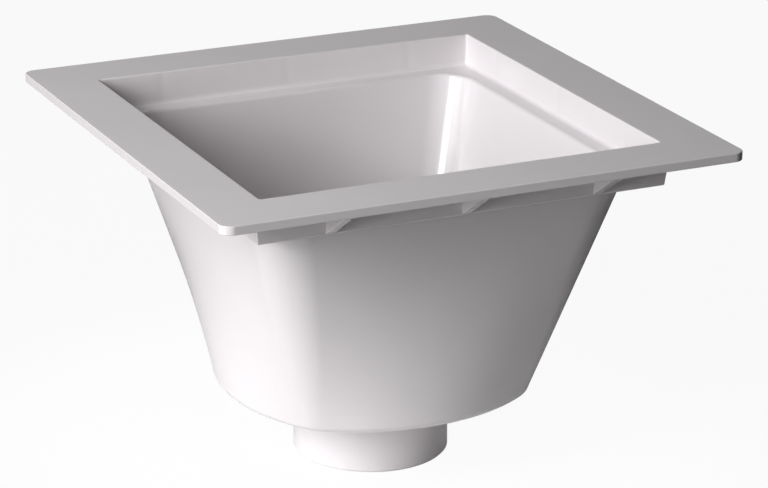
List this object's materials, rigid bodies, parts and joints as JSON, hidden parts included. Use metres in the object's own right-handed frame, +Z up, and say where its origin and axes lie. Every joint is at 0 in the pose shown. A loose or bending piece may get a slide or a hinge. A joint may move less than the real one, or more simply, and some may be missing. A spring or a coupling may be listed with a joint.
{
  "type": "floor sink",
  "caption": "Square flush-mounted plastic floor sink with a recessed grate ledge, a tapered basin, a round bottom outlet spigot and a lift-out dome strainer.",
  "frame": {"origin": "centre of the outlet spigot's lower end, at the height of the surface that the sink stands on", "axes": "+Z up along the outlet's axis towards the open top, -Y towards the front of the rim, +X to the right seen from the front"},
  "size_m": [0.3048, 0.3048, 0.201],
  "materials": {
    "pvc_moulding": "satin white moulded rigid PVC",
    "strainer_plastic": "white moulded plastic, slightly matt"
  },
  "bodies": {
    "sink": {"rim_flange": "pvc_moulding", "collar": "pvc_moulding", "grate_ledge": "pvc_moulding", "basin_wall": "pvc_moulding", "basin_floor": "pvc_moulding", "outlet_spigot": "pvc_moulding", "gusset_front_1": "pvc_moulding", "gusset_front_2": "pvc_moulding", "gusset_front_3": "pvc_moulding", "gusset_right_1": "pvc_moulding", "gusset_right_2": "pvc_moulding", "gusset_right_3": "pvc_moulding", "gusset_back_1": "pvc_moulding", "gusset_back_2": "pvc_moulding", "gusset_back_3": "pvc_moulding", "gusset_left_1": "pvc_moulding", "gusset_left_2": "pvc_moulding", "gusset_left_3": "pvc_moulding"},
    "strainer": {"dome_strainer": "strainer_plastic"}
  },
  "joints": [
    {"name": "strainer_lift", "type": "slide", "parent": "sink", "child": "strainer", "axis": [0, 0, 1], "range_m": [0, 0.18]}
  ]
}
